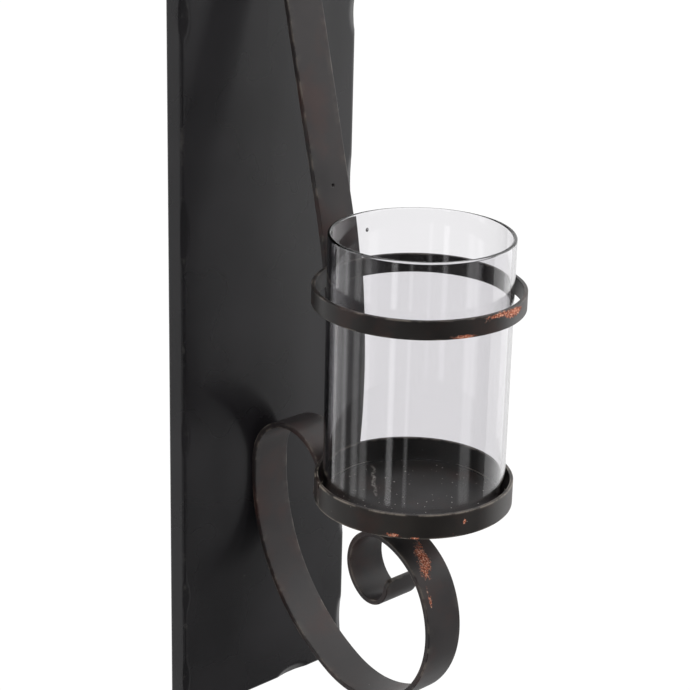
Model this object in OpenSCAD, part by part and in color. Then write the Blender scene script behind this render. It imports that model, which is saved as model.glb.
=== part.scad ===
// Wall sconce for a glass hurricane: a folded iron back plate, a bowed flat bar that carries a
// hoop and a pan, a scrolled flat bar below them, and a loose glass cylinder that lifts out.
// X runs along the wall, the wall is the plane Y = 0, the sconce stands out towards -Y, Z is up.
// The origin is the centre of the keyhole, on the wall.

/* [Back plate] */
// Width of the plate
plate_w = 130; // [100:1:180]
// Height of the plate
plate_h = 590; // [490:1:720]
// How far the folded edges stand the front sheet off the wall
plate_d = 12.7; // [10:0.1:20]
// Thickness of the sheet
sheet_t = 1.5; // [1:0.1:2.5]
// Radius of the plate's corners
corner_r = 7; // [4:0.5:15]

/* [Hanging] */
// Drop from the plate's top edge to the keyhole
keyhole_drop = 50; // [45:1:80]
// Radius of the keyhole's round entry
keyhole_r = 4.5; // [3.5:0.1:6]
// Width of the keyhole's slot
slot_w = 4.5; // [3:0.1:5]
// Rise of the slot above the entry
slot_rise = 10; // [7:0.5:14]
// Height of the strip that the keyhole is cut in
hanger_h = 40; // [34:1:60]

/* [Flat bar] */
// Width of the flat bar
bar_w = 25.4; // [20:0.1:32]
// Thickness of the flat bar
bar_t = 3.2; // [2.5:0.1:5]
// How far the front face of the bowed bar stands off the wall
reach = 80; // [72:1:110]
// Radius of the bow, at the bar's front face
bow_r = 400; // [300:5:600]
// Height of the bow's furthest point above the pan's lip
bow_up = 42; // [20:1:60]
// Length of bar that lies flat on the plate at its top
land_h = 46; // [40:1:60]
// Distance from the plate's top edge down to the bar's top end
land_drop = 14; // [8:1:20]
// Middle radius of the bend where the bar leaves the plate
land_bend_r = 14; // [8:1:30]
// How far the bowed bar's lower end leans back to the wall, in degrees
tail_lean = 8.6; // [5:0.1:12]
// Distance of the lap below the end of the bow
lap_drop = 0.2; // [0:0.1:6]
// Length of the lap between the two bars
lap_h = 16; // [12:1:24]

/* [Scroll] */
// Length of the scroll's flat against the plate
scroll_land = 8; // [5:1:15]
// Middle radius of the sweep from the plate down and forward
sweep_r = 116; // [90:1:130]
// Turn of that sweep, in degrees
sweep_a = 66; // [60:1:72]
// Middle radius of the front turn
front_r = 57; // [48:1:66]
// Turn of the front, in degrees
front_a = 142; // [136:1:148]
// Middle radius of the shoulder under the pan
shoulder_r = 43; // [34:1:48]
// Turn of the shoulder, in degrees
shoulder_a = 57; // [48:1:60]
// Middle radius of the curl
curl_r = 22; // [18:0.5:26]
// Turn of the curl, in degrees
curl_a = 154; // [140:1:165]
// Middle radius of the curl's tip
tip_r = 13; // [10:0.5:16]
// Turn of the tip, in degrees
tip_a = 114; // [90:1:125]
// Length of the bar's straight end
tip_land = 6; // [3:0.5:10]

/* [Hoop, pan and glass] */
// Depth of the pan's lip below the keyhole
lip_drop = 353; // [300:1:400]
// Gap between the glass and the pan's wall
pan_gap = 2.6; // [1:0.1:6]
// Height of the pan
pan_h = 14.3; // [10:0.1:20]
// Thickness of the strip that the pan's wall is rolled from
pan_t = 2; // [1.5:0.1:2.5]
// Thickness of the pan's floor
floor_t = 1.5; // [1:0.1:2.5]
// Direction of the pan's seam, in degrees from +X
seam_a = 154; // [120:1:240]
// Gap between the glass and the hoop, were they on one centre
hoop_gap = 5.5; // [3:0.1:9]
// Height of the hoop
hoop_h = 10.8; // [8:0.1:16]
// Thickness of the hoop
hoop_t = 2.2; // [1.5:0.1:3]
// Height of the hoop's top edge above the pan's lip
hoop_up = 110.6; // [90:0.1:125]
// Outer radius of the glass
glass_r = 50.8; // [42:0.1:64]
// Height of the glass
glass_h = 152.4; // [130:0.1:200]
// Wall of the glass
glass_t = 2.2; // [1.6:0.1:4]

/* [Fastenings] */
// Radius of a rivet's shank
rivet_r = 2.5; // [2:0.1:3.5]
// Radius of a rivet's head
head_r = 4.6; // [4:0.1:6]
// Height of a rivet's head
head_h = 2.4; // [1.5:0.1:3.5]
// Width of a weld between the bar and the hoop or pan
weld_w = 17; // [10:1:22]
// Least gap between the bar and the hoop, which a weld fills
hoop_off = 1; // [0.2:0.1:4]
// Least gap between the bar and the pan, which a weld fills
pan_off = 2.8; // [0.2:0.1:5]

/* [Hidden] */
$fn = 96;
rivet_gap = 0.1;
cut = 1;
// Furthest that a facet strays from a bar's true bend
stray = 0.02;
plate_top = keyhole_drop;
plate_foot = plate_top - plate_h;
inner_w = plate_w - 2 * sheet_t;
lip_z = -lip_drop;
pan_r = glass_r + pan_gap + pan_t;
hoop_r = glass_r + hoop_gap + hoop_t;
floor_top = lip_z - pan_h + floor_t;
hoop_top = lip_z + hoop_up;
// Rivets through the bar's flat at the top
land_top = plate_top - land_drop;
rivet_in = 10;
rivet_zs = [land_top - rivet_in, land_top - land_h + 1.4 * rivet_in];

// The bowed bar, by its middle line: [out from the wall, height]
bar_mid = plate_d + bar_t / 2;
bow_mid_r = bow_r - bar_t / 2;
bow_c = [reach - bow_r, lip_z + bow_up];
bend_v = [bar_mid, land_top - land_h];
bow_d = norm(bend_v - bow_c);
lean = atan2(bend_v[1] - bow_c[1], bend_v[0] - bow_c[0]) - acos(bow_mid_r / bow_d);
bend_trim = land_bend_r * tan(lean / 2);
straight_h = sqrt(bow_d * bow_d - bow_mid_r * bow_mid_r) - bend_trim;
tail_top_z = bow_c[1] - bow_r * sin(tail_lean);

// Front face of the bowed bar at a height within the bow
function bar_front(z) = bow_c[0] + sqrt(bow_r * bow_r - pow(z - bow_c[1], 2));
// Furthest point of the front face along a band of heights
function bar_front_max(z0, z1) = max(bar_front(z0), bar_front(z1));
hoop_y = bar_front_max(hoop_top, hoop_top - hoop_h) + hoop_r + hoop_off;
pan_y = bar_front_max(lip_z, lip_z - pan_h) + pan_r + pan_off;

// The scroll's arch rises off the plate and comes down the back of the bowed bar, ending in the
// lap. Its radius and height are the ones that bring it onto the lap's line at the lap's top.
arch_stop = 31;
arch_tight_r = 8;
tail_n = [cos(tail_lean), -sin(tail_lean)];
tail_face = [bow_c[0] + bow_r * cos(tail_lean), tail_top_z];
lap_line = tail_face * tail_n - 1.5 * bar_t;
lap_top_z = tail_top_z - lap_drop;
lap_foot_z = lap_top_z - lap_h * cos(tail_lean);
arch_lift = arch_tight_r * (1 - cos(arch_stop + tail_lean));
arch_fall = arch_tight_r * (sin(arch_stop) + sin(tail_lean));
arch_line = [bar_mid, lap_top_z + arch_fall] * tail_n;
arch_r = (lap_line - arch_lift - arch_line) / ((1 + cos(arch_stop)) * tail_n[0]);
arch_z = lap_top_z + arch_fall - arch_r * sin(arch_stop);
tail_h = (tail_top_z - lap_foot_z) / cos(tail_lean);
lap_mid_z = (lap_top_z + lap_foot_z) / 2;
// How far out the bowed bar's front face stands at a height within its straight tail
function lap_out(z) = (tail_face * tail_n + sin(tail_lean) * z) / cos(tail_lean);

// A rectangle with round corners, centred
module rounded(w, h, r) {
    square([w - 2 * r, h], center = true);
    square([w, h - 2 * r], center = true);
    for (x = [-1, 1], y = [-1, 1])
        translate([x * (w / 2 - r), y * (h / 2 - r)]) circle(r);
}

// Stands a flat outline up, facing the room, from y0 out to y1
module facing(y0, y1) {
    translate([0, -y0, 0]) rotate([90, 0, 0]) linear_extrude(y1 - y0) children();
}

// A round hole or peg along Y, from y0 out to y1
module along_y(r, y0, y1, x = 0, z = 0) {
    translate([x, -y0, z]) rotate([90, 0, 0]) cylinder(r = r, h = y1 - y0);
}

// Points and headings along a bent run, where [length] is straight and [radius, turn] an arc
function walk(run, p, head, i = 0) =
    i == len(run) ? [[p, head]] :
    len(run[i]) == 1 ?
        concat([[p, head]], walk(run, p + run[i][0] * [cos(head), sin(head)], head, i + 1)) :
        let (side = sign(run[i][1]), r = run[i][0], turn = run[i][1],
             c = p + side * r * [-sin(head), cos(head)],
             n = ceil(abs(turn) / (2 * acos(1 - stray / r))))
        concat([for (k = [0:n - 1]) [c + side * r * turned(head + turn * k / n),
                                     head + turn * k / n]],
               walk(run, c + side * r * turned(head + turn), head + turn, i + 1));
function turned(a) = [sin(a), -cos(a)];

// A flat bar bent along a run, seen from the side as [out from the wall, height]
module bent_bar(run, p, head) {
    line = walk(run, p, head);
    left = [for (q = line) q[0] - bar_t / 2 * turned(q[1])];
    right = [for (k = [len(line) - 1:-1:0]) line[k][0] + bar_t / 2 * turned(line[k][1])];
    rotate([90, 0, -90]) linear_extrude(bar_w, center = true) polygon(concat(left, right));
}

// A domed rivet head whose flat lies on the plane y, standing out along dir
module rivet_head(y, dir, z) {
    dome = (head_r * head_r + head_h * head_h) / (2 * head_h);
    translate([0, -y, z]) rotate([dir * 90, 0, 0]) intersection() {
        translate([0, 0, head_h - dome]) sphere(dome);
        cylinder(r = head_r, h = head_h);
    }
}

module back_plate() {
    mid = (plate_top + plate_foot) / 2;
    color("#232224") difference() {
        translate([0, 0, mid]) difference() {
            facing(0, plate_d) rounded(plate_w, plate_h, corner_r);
            facing(-cut, plate_d - sheet_t)
                rounded(inner_w, plate_h - 2 * sheet_t, corner_r - sheet_t);
        }
        for (z = rivet_zs) along_y(rivet_r + rivet_gap, 0, plate_d + cut, 0, z);
    }
}

// A strip across the back of the plate, with a tab turned in at each end
module hanger_strip() {
    tab_d = plate_d - sheet_t - 1;
    color("#2b2a2b") difference() {
        translate([0, 0, slot_rise / 2]) {
            translate([-inner_w / 2, -sheet_t, -hanger_h / 2]) cube([inner_w, sheet_t, hanger_h]);
            for (x = [-inner_w / 2, inner_w / 2 - sheet_t])
                translate([x, -tab_d, -hanger_h / 2]) cube([sheet_t, tab_d, hanger_h]);
        }
        along_y(keyhole_r, -cut, sheet_t + cut);
        facing(-cut, sheet_t + cut) translate([-slot_w / 2, 0]) square([slot_w, slot_rise]);
        along_y(slot_w / 2, -cut, sheet_t + cut, 0, slot_rise);
    }
}

module upper_bar() {
    color("#2e2a28") difference() {
        bent_bar([[land_h - bend_trim], [land_bend_r, lean], [straight_h],
                  [bow_mid_r, -(lean + tail_lean)], [tail_h]], [bar_mid, land_top], -90);
        for (z = rivet_zs) along_y(rivet_r + rivet_gap, 0, plate_d + bar_t + cut, 0, z);
        lap_peg(rivet_r + rivet_gap, -2 * bar_t, bar_t);
    }
}

module scroll_bar() {
    color("#2e2a28") difference() {
        bent_bar([[lap_h], [arch_tight_r, arch_stop + tail_lean], [arch_r, 180 - arch_stop],
                  [scroll_land], [sweep_r, sweep_a], [front_r, front_a],
                  [shoulder_r, shoulder_a], [curl_r, curl_a], [tip_r, tip_a], [tip_land]],
                 [lap_out(lap_foot_z) - 1.5 * bar_t / cos(tail_lean), lap_foot_z],
                 90 - tail_lean);
        lap_peg(rivet_r + rivet_gap, -3 * bar_t, 0);
    }
}

module bar_rivets() {
    for (z = rivet_zs) color("#2a2727") {
        along_y(rivet_r, plate_d - sheet_t, plate_d + bar_t, 0, z);
        rivet_head(plate_d + bar_t, 1, z);
        rivet_head(plate_d - sheet_t, -1, z);
    }
}

// Places things square to the lap, with 0 at the bowed bar's front face
module on_lap() {
    translate([0, -lap_out(lap_mid_z), lap_mid_z]) rotate([tail_lean, 0, 0]) children();
}

// A peg through the lap, from y0 out to y1
module lap_peg(r, y0, y1) {
    on_lap() along_y(r, y0, y1);
}

module lap_rivet() {
    color("#2a2727") {
        lap_peg(rivet_r, -2 * bar_t, 0);
        on_lap() {
            rivet_head(0, 1, 0);
            rivet_head(-2 * bar_t, -1, 0);
        }
    }
}

// Weld in the wedge above the scroll's flat, between the arch and the plate
module scroll_weld() {
    bead_h = arch_r / 3;
    color("#242122") difference() {
        translate([-weld_w / 2, -plate_d - bar_t, arch_z])
            cube([weld_w, bar_t, bead_h]);
        translate([-plate_w / 2, -bar_mid - arch_r, arch_z])
            rotate([0, 90, 0]) cylinder(r = arch_r + bar_t / 2, h = plate_w, $fn = 180);
    }
}

// Weld between the bowed bar's front face and a round band that stands in front of it
module band_weld(band_y, band_r, z0, z1) {
    mid = (z0 + z1) / 2;
    slope = asin((mid - bow_c[1]) / bow_r);
    intersection() {
        difference() {
            translate([-weld_w / 2, -band_y, z0]) cube([weld_w, band_y, z1 - z0]);
            translate([0, -band_y, z0 - cut])
                cylinder(r = band_r, h = z1 - z0 + 2 * cut, $fn = 240);
        }
        translate([0, -bar_front(mid), mid]) rotate([-slope, 0, 0])
            translate([-weld_w, -band_r, -band_r]) cube([2 * weld_w, band_r, 2 * band_r]);
    }
}

module hoop_weld() {
    inset = hoop_h / 6;
    color("#242122")
        band_weld(hoop_y, hoop_r, hoop_top - hoop_h + inset, hoop_top - inset);
}

module pan_weld() {
    inset = pan_h / 6;
    color("#242122")
        band_weld(pan_y, pan_r, lip_z - pan_h + inset, lip_z - inset);
}

// A plain round band, standing on z
module band(y, z, r, t, h) {
    translate([0, -y, z]) difference() {
        cylinder(r = r, h = h, $fn = 180);
        translate([0, 0, -cut]) cylinder(r = r - t, h = h + 2 * cut, $fn = 180);
    }
}

module glass_hoop() {
    color("#2c2725") band(hoop_y, hoop_top - hoop_h, hoop_r, hoop_t, hoop_h);
}

// The pan's wall, notched at the top of its seam
module pan_wall() {
    notch_w = 1.4;
    notch_h = pan_h / 4;
    color("#2c2725") difference() {
        band(pan_y, lip_z - pan_h, pan_r, pan_t, pan_h);
        translate([0, -pan_y, lip_z - notch_h]) rotate(seam_a)
            translate([pan_r - pan_t - cut, -notch_w / 2, 0])
                cube([pan_t + 2 * cut, notch_w, notch_h + cut]);
    }
}

module pan_floor() {
    color("#2c2725") translate([0, -pan_y, lip_z - pan_h])
        cylinder(r = pan_r - pan_t, h = floor_t, $fn = 180);
}

// A tube of glass whose rims are rounded by the flame
module glass_cylinder() {
    rim_r = glass_t / 2;
    color("#dfe6e6", 0.35) translate([0, -pan_y, floor_top]) rotate_extrude($fn = 180) {
        translate([glass_r - glass_t, rim_r]) square([glass_t, glass_h - 2 * rim_r]);
        for (z = [rim_r, glass_h - rim_r]) translate([glass_r - rim_r, z]) circle(rim_r);
    }
}

back_plate();
hanger_strip();
upper_bar();
scroll_bar();
bar_rivets();
lap_rivet();
scroll_weld();
hoop_weld();
pan_weld();
glass_hoop();
pan_wall();
pan_floor();
glass_cylinder();
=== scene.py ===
import math

import bpy
import numpy as np
from mathutils import Matrix, Vector


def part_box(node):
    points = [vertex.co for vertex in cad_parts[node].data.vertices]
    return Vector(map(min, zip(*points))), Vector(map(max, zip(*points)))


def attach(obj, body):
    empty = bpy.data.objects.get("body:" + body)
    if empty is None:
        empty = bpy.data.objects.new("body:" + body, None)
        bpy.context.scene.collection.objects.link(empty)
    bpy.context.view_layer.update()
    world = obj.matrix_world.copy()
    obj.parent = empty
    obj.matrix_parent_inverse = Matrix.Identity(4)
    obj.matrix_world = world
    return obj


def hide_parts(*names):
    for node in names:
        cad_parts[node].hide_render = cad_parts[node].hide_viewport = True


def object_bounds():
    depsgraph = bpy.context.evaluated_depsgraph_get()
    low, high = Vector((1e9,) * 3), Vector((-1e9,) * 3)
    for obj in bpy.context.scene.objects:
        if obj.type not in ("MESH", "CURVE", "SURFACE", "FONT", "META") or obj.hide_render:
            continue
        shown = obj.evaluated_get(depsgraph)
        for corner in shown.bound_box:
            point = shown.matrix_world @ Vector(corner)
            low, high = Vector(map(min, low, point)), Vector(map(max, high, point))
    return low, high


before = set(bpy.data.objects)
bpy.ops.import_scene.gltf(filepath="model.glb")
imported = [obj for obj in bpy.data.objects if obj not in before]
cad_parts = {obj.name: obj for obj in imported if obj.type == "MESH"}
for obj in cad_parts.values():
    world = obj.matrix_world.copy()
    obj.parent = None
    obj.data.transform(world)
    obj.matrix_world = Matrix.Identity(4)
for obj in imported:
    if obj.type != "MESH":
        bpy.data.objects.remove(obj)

mm = 0.001
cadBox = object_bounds()
scene = bpy.context.scene


def linearColor(hexText):
    # sRGB hex to linear: the low end is a straight line, the rest a 2.4 power
    levels = [int(hexText[k:k + 2], 16) / 255 for k in (1, 3, 5)]
    return [v / 12.92 if v <= 0.04045 else ((v + 0.055) / 1.055) ** 2.4 for v in levels] + [1.0]


def addNode(tree, kind, settings=None, links=None):
    # kind is Blender's name for the node without ShaderNode; settings are its properties or socket
    # values; links are socket: node, or socket: (node, output) where it isn't the first output
    node = tree.nodes.new("ShaderNode" + kind)
    for key, value in (settings or {}).items():
        if isinstance(key, str) and hasattr(node, key):
            setattr(node, key, value)
        else:
            node.inputs[key].default_value = value
    for socket, link in (links or {}).items():
        source, output = link if isinstance(link, tuple) else (link, 0)
        tree.links.new(source.outputs[output], node.inputs[socket])
    return node


def wander(t, seed, waves=(1.0, 2.3, 4.1)):
    # a smooth wavering line between about -1 and 1: sines of unrelated lengths
    phases = np.random.default_rng(seed).uniform(0, 2 * math.pi, len(waves))
    total = sum(np.sin(2 * math.pi * w * t + p) / w for w, p in zip(waves, phases))
    return total / sum(1 / w for w in waves)


def gridFaces(rows, columns, wrapRows=False, wrapColumns=True):
    # quads between neighbouring rows and columns of a grid, row by row
    r = np.arange(rows if wrapRows else rows - 1)
    c = np.arange(columns if wrapColumns else columns - 1)
    r, c = np.meshgrid(r, c, indexing="ij")
    r2, c2 = (r + 1) % rows, (c + 1) % columns
    quads = np.stack([r * columns + c, r * columns + c2, r2 * columns + c2, r2 * columns + c], -1)
    return quads.reshape(-1, 4).tolist()


def closedTube(rows, columns):
    # a tube of rings, with a flat face over its first ring and one over its last
    ring = np.arange(columns)
    return gridFaces(rows, columns) + [ring[::-1].tolist(), (ring + (rows - 1) * columns).tolist()]


def makePiece(name, node, material, points, faces, edge, rub=0.0, body="bracket"):
    # Builds the mesh, turns it outwards if its signed volume is negative, and hands it to the frame.
    # edge and rub say, point by point, how near a sharp edge and how rubbed through the paint is.
    points = np.asarray(points, float)
    wear = {key: np.broadcast_to(values, points.shape[:-1]) for key, values in (("edge", edge), ("rub", rub))}
    points = points.reshape(-1, 3)
    mesh = bpy.data.meshes.new(name)
    mesh.from_pydata(points.tolist(), [], faces)
    mesh.calc_loop_triangles()
    corners = np.zeros(len(mesh.loop_triangles) * 3, np.int32)
    mesh.loop_triangles.foreach_get("vertices", corners)
    a, b, c = points[corners.reshape(-1, 3)].transpose(1, 0, 2)
    if np.einsum("ij,ij->i", a, np.cross(b, c)).sum() < 0:
        mesh.flip_normals()
    for key, values in wear.items():
        layer = mesh.attributes.new(key, "FLOAT", "POINT")
        layer.data.foreach_set("value", values.astype(np.float32).ravel())
    mesh.polygons.foreach_set("use_smooth", [True] * len(mesh.polygons))
    mesh.update()
    mesh.materials.append(material)
    piece = bpy.data.objects.new(name, mesh)
    scene.collection.objects.link(piece)
    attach(piece, body)
    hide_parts(node)
    print("made", name, len(faces), "faces")


cameraSpec = {
    "aim": (0.0, -0.079, -0.2937),   # metres: on the bar, level with the hoop
    "distance": 1.148,
    "nudge": (-0.00068, 0.00068),    # metres along the picture's own right and up
    "azimuth": -43.5,                # degrees, from straight in front
    "elevation": 20.21,
    "roll": 1.35,
    "lens": 105.8,
    "sensor": 36,
    "farthest": 200,
}


def makeCamera():
    azimuth, elevation, roll = (math.radians(cameraSpec[k]) for k in ("azimuth", "elevation", "roll"))
    level = math.cos(elevation)
    back = Vector((math.sin(azimuth) * level, -math.cos(azimuth) * level, math.sin(elevation)))
    right = Vector((math.cos(azimuth), math.sin(azimuth), 0))
    up = back.cross(right)
    tiltedRight = right * math.cos(roll) + up * math.sin(roll)
    tiltedUp = up * math.cos(roll) - right * math.sin(roll)
    camera = bpy.data.objects.new("camera", bpy.data.cameras.new("camera"))
    camera.data.lens = cameraSpec["lens"]
    camera.data.sensor_width = cameraSpec["sensor"]
    camera.data.clip_end = cameraSpec["farthest"]
    place = Matrix((tiltedRight, tiltedUp, back)).transposed().to_4x4()
    nudge = tiltedRight * cameraSpec["nudge"][0] + tiltedUp * cameraSpec["nudge"][1]
    place.translation = Vector(cameraSpec["aim"]) + back * cameraSpec["distance"] + nudge
    camera.matrix_world = place
    scene.collection.objects.link(camera)
    scene.camera = camera


def startMaterial(name):
    material = bpy.data.materials.new(name)
    material.use_nodes = True
    tree = material.node_tree
    return material, tree, tree.nodes["Principled BSDF"]


# lengths in a look are mm; a cloud, chip, cast or dapple is about that far across
plateLook = {
    "dark": "#1b1a1c", "light": "#222023", "cloud": 70, "cast": 0.0,
    "worn": "#5b5855", "chipSize": 9, "chipStart": 0.56, "edgeWear": 0.35,
    "speckSpacing": 16, "speckRare": 0.6, "speckSize": 0.3,
    "roughLow": 0.25, "roughHigh": 0.31, "ior": 1.47,
    "peelDepth": 0.006, "dapple": 30, "dappleDepth": 0.05,
}
barLook = {
    "dark": "#252122", "light": "#312b2b", "cloud": 26, "cast": 0.4,
    "worn": "#857c72", "chipSize": 11, "chipStart": 0.48, "edgeWear": 0.45,
    "speckSpacing": 9, "speckRare": 0.6, "speckSize": 0.3,
    "roughLow": 0.36, "roughHigh": 0.48, "ior": 1.48,
    "peelDepth": 0.008, "dapple": 14, "dappleDepth": 0.06,
}
hoopLook = dict(barLook, dark="#1f1b1a", light="#2a2523", ior=1.46)
panLook = dict(barLook, dark="#211d1b", light="#2b2622", speckSpacing=6, speckRare=0.5, edgeWear=0.8,
               chipStart=0.42, ior=1.47)
floorLook = dict(panLook, dark="#1d1a17", light="#292420", edgeWear=1.0, chipStart=0.3, worn="#b5ad9e",
                 ior=1.45, roughLow=0.42, roughHigh=0.54)
weldLook = dict(barLook, dapple=3, dappleDepth=0.3, peelDepth=0.05)

# what all the painted pieces share
coatSpec = {
    "cast": "#47271f", "castSize": 24,
    "gritSize": 1.6, "fleckSize": 0.9, "rust": ((0.36, "#4a2218"), (0.5, "#c4623c"), (0.66, "#f2c9ae")),
    "speck": "#8f8a84", "rubbedRough": 0.75, "peelSize": 1.2, "rubDepth": 0.08,
}

# the streak of candle dust on the pan's floor: place, turn and size, and the spacing of loose grains
dustSpec = {"centre": (-2.9, -107.5), "turn": 49, "length": 44, "width": 1.3, "fade": 6, "spacing": 5,
            "waverLength": 9, "waver": 2.5, "color": "#cfcac0"}


def paintTone(tree, look, place):
    # near-black in broad soft clouds; where the coat is thin the primer gives it a red-brown cast, in
    # patches a couple of centimetres across
    clouds = addNode(tree, "TexNoise", {"Scale": 1 / (look["cloud"] * mm), "Detail": 3.0}, {"Vector": place})
    share = addNode(tree, "MapRange", {"From Min": 0.35, "From Max": 0.68}, {"Value": clouds})
    tone = addNode(tree, "Mix",
                   {"data_type": "RGBA", 6: linearColor(look["dark"]), 7: linearColor(look["light"])},
                   {0: share})
    thin = addNode(tree, "TexNoise",
                   {"noise_dimensions": "4D", "W": 3.0, "Scale": 1 / (coatSpec["castSize"] * mm),
                    "Detail": 4.0, "Roughness": 0.6}, {"Vector": place})
    share = addNode(tree, "MapRange", {"From Min": 0.5, "From Max": 0.68, "To Max": look["cast"]},
                    {"Value": thin})
    tone = addNode(tree, "Mix", {"data_type": "RGBA", 7: linearColor(coatSpec["cast"])},
                   {0: share, 6: (tone, 2)})
    return tone, clouds


def addWear(tree, look, place, under):
    # the sharp edges are worn, in lengths of about a centimetre that come and go
    edge = addNode(tree, "Attribute", {"attribute_name": "edge"})
    chips = addNode(tree, "TexNoise", {"Scale": 1 / (look["chipSize"] * mm), "Detail": 6.0, "Roughness": 0.6},
                    {"Vector": place})
    band = addNode(tree, "MapRange", {"From Min": look["chipStart"], "From Max": look["chipStart"] + 0.12},
                   {"Value": chips})
    worn = addNode(tree, "Math", {"operation": "MULTIPLY"}, {0: (edge, "Fac"), 1: band})
    amount = addNode(tree, "Math", {"operation": "MULTIPLY", 1: look["edgeWear"]}, {0: worn})
    return addNode(tree, "Mix", {"data_type": "RGBA", 7: linearColor(look["worn"])},
                   {0: amount, 6: (under, 2)})


def addRust(tree, place, under):
    # rubbed-through places show flecked rust, with the speckled border that hand rubbing leaves
    rub = addNode(tree, "Attribute", {"attribute_name": "rub"})
    grit = addNode(tree, "TexNoise",
                   {"Scale": 1 / (coatSpec["gritSize"] * mm), "Detail": 6.0, "Roughness": 0.75},
                   {"Vector": place})
    both = addNode(tree, "Math", {"operation": "ADD"}, {0: (rub, "Fac"), 1: grit})
    mask = addNode(tree, "MapRange", {"From Min": 0.98, "From Max": 1.1}, {"Value": both})
    fleck = addNode(tree, "TexNoise",
                    {"Scale": 1 / (coatSpec["fleckSize"] * mm), "Detail": 3.0, "Roughness": 0.6},
                    {"Vector": place})
    rust = addNode(tree, "ValToRGB", {}, {"Fac": fleck})
    (darkAt, dark), (middleAt, middle), (paleAt, pale) = coatSpec["rust"]
    tones = rust.color_ramp.elements
    tones[0].position, tones[0].color = darkAt, linearColor(dark)
    tones[1].position, tones[1].color = paleAt, linearColor(pale)
    tones.new(middleAt).color = linearColor(middle)
    color = addNode(tree, "Mix", {"data_type": "RGBA"}, {0: mask, 6: (under, 2), 7: (rust, "Color")})
    return color, mask, grit


def addSpecks(tree, look, place, under):
    # dust specks: some of the pattern's cells hold a dot a fraction of a millimetre across
    cells = addNode(tree, "TexVoronoi", {"Scale": 1 / (look["speckSpacing"] * mm)}, {"Vector": place})
    size = look["speckSize"] / look["speckSpacing"]
    dot = addNode(tree, "MapRange", {"From Min": size, "From Max": 0.6 * size},
                  {"Value": (cells, "Distance")})
    pick = addNode(tree, "SeparateColor", {}, {"Color": (cells, "Color")})
    chosen = addNode(tree, "Math", {"operation": "GREATER_THAN", 1: look["speckRare"]}, {0: (pick, "Red")})
    speck = addNode(tree, "Math", {"operation": "MULTIPLY"}, {0: dot, 1: chosen})
    return addNode(tree, "Mix", {"data_type": "RGBA", 7: linearColor(coatSpec["speck"])},
                   {0: speck, 6: (under, 2)})


def addDust(tree, dust, place, grit, under):
    # candle dust and grit on the pan's floor: one broken streak, with loose grains strewn about it
    local = addNode(tree, "Mapping", {"vector_type": "TEXTURE"}, {"Vector": place})
    local.inputs["Location"].default_value = [v * mm for v in dust["centre"]] + [0]
    local.inputs["Rotation"].default_value = (0, 0, math.radians(dust["turn"]))
    axes = addNode(tree, "SeparateXYZ", {}, {"Vector": local})
    waver = addNode(tree, "TexNoise", {"Scale": 1 / (dust["waverLength"] * mm), "Detail": 2.0},
                    {"Vector": place})
    bend = addNode(tree, "MapRange", {"To Min": -dust["waver"] * mm, "To Max": dust["waver"] * mm},
                   {"Value": waver})
    across = addNode(tree, "Math", {"operation": "ADD"}, {0: (axes, "Y"), 1: bend})
    away = addNode(tree, "Math", {"operation": "ABSOLUTE"}, {0: across})
    inWidth = addNode(tree, "MapRange", {"From Min": dust["width"] * mm, "From Max": 0.2 * mm},
                      {"Value": away})
    along = addNode(tree, "Math", {"operation": "ABSOLUTE"}, {0: (axes, "X")})
    half = dust["length"] / 2 * mm
    inLength = addNode(tree, "MapRange", {"From Min": half, "From Max": half - dust["fade"] * mm},
                       {"Value": along})
    streak = addNode(tree, "Math", {"operation": "MULTIPLY"}, {0: inWidth, 1: inLength})
    broken = addNode(tree, "MapRange", {"From Min": 0.42, "From Max": 0.62}, {"Value": grit})
    powder = addNode(tree, "Math", {"operation": "MULTIPLY"}, {0: streak, 1: broken})
    cells = addNode(tree, "TexVoronoi", {"voronoi_dimensions": "2D", "Scale": 1 / (dust["spacing"] * mm)},
                    {"Vector": place})
    pick = addNode(tree, "SeparateColor", {}, {"Color": (cells, "Color")})
    size = addNode(tree, "MapRange", {"From Min": 0.45, "From Max": 1.0, "To Max": 0.085},
                   {"Value": (pick, "Red")})
    grain = addNode(tree, "Math", {"operation": "LESS_THAN"}, {0: (cells, "Distance"), 1: size})
    both = addNode(tree, "Math", {"operation": "MAXIMUM"}, {0: powder, 1: grain})
    return addNode(tree, "Mix", {"data_type": "RGBA", 7: linearColor(dust["color"])},
                   {0: both, 6: (under, 2)})


def addSkin(tree, look, place, rubMask):
    # fine orange peel over broad hammer dapple, and rubbed places a little sunk
    normal = None
    peel = addNode(tree, "TexNoise", {"Scale": 1 / (coatSpec["peelSize"] * mm), "Detail": 2.0},
                   {"Vector": place})
    dapple = addNode(tree, "TexNoise", {"Scale": 1 / (look["dapple"] * mm), "Detail": 1.0}, {"Vector": place})
    for height, depth, strength, sunk in ((peel, look["peelDepth"], 1.0, False),
                                          (dapple, look["dappleDepth"], 1.0, False),
                                          (rubMask, coatSpec["rubDepth"], 0.8, True)):
        below = {} if normal is None else {"Normal": normal}
        normal = addNode(tree, "Bump", {"Strength": strength, "Distance": depth * mm, "invert": sunk},
                         {"Height": height, **below})
    return normal


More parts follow.
